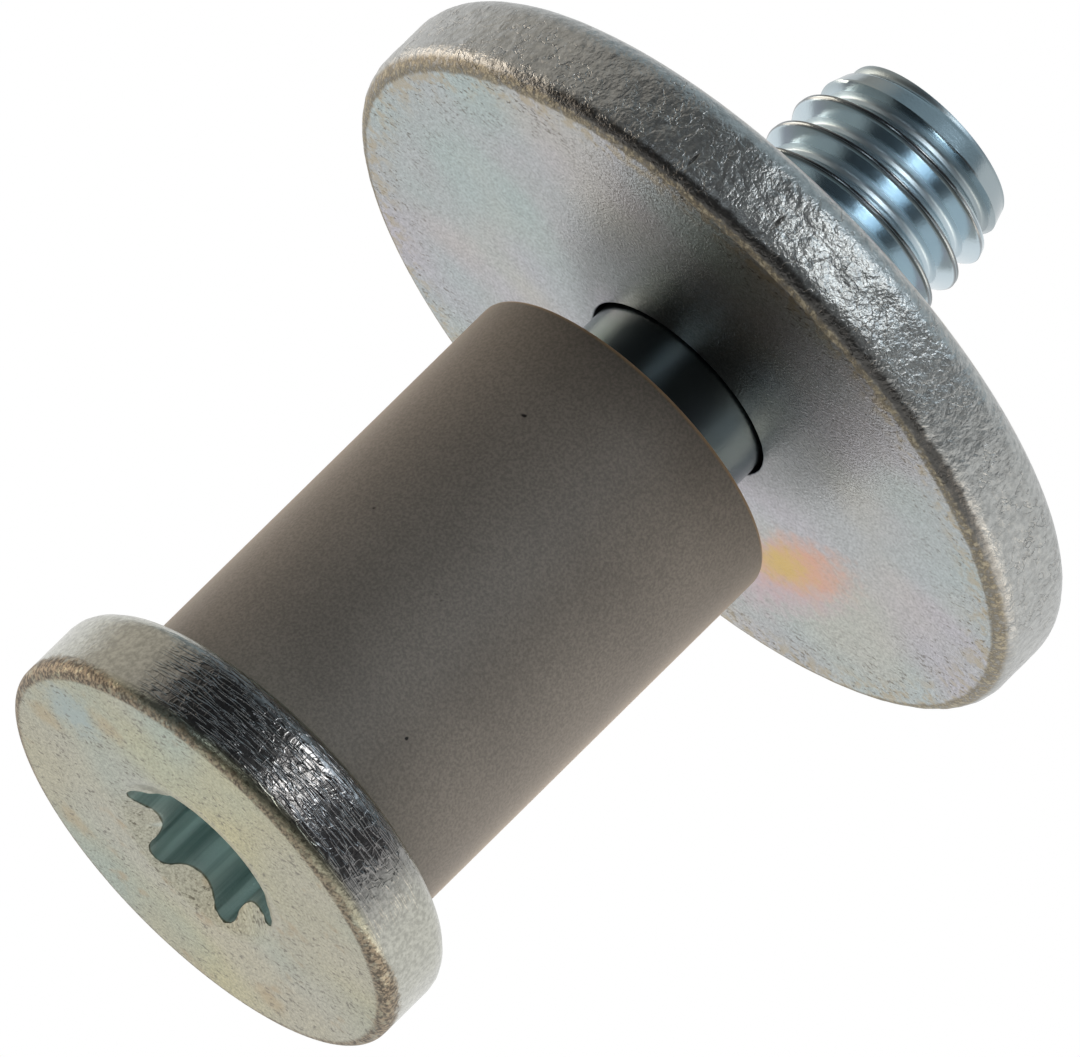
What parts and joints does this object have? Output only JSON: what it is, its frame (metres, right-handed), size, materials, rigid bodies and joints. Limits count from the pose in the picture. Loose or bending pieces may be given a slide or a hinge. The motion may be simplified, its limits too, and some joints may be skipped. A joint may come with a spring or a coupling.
{
  "type": "door striker bolt",
  "caption": "Zinc-plated striker bolt with a flat round head, six-lobe recess, turning plastic sleeve, captive heavy washer and coarse threaded end.",
  "frame": {"origin": "centre of the head's flat outer face, on the bolt's axis", "axes": "+Z along the bolt's axis from the head to the threaded tip; +X through the tip of one lobe of the drive recess"},
  "size_m": [0.0404, 0.0404, 0.05],
  "materials": {
    "zinc_bolt": "satin zinc plate with a pale clear passivate",
    "grey_plastic": "satin warm grey moulded plastic",
    "zinc_washer": "satin zinc plate on a stamped disc with a rough sheared rim"
  },
  "bodies": {
    "bolt": {"striker_bolt": "zinc_bolt"},
    "sleeve": {"sleeve": "grey_plastic"},
    "washer": {"washer": "zinc_washer"}
  },
  "joints": [
    {"name": "sleeve_spin", "type": "hinge", "parent": "bolt", "child": "sleeve", "pos_m": [0, 0, 0.0169], "axis": [0, 0, 1], "continuous": true},
    {"name": "washer_slide", "type": "slide", "parent": "bolt", "child": "washer", "axis": [0, 0, 1], "range_m": [-0.0033, 0]}
  ]
}
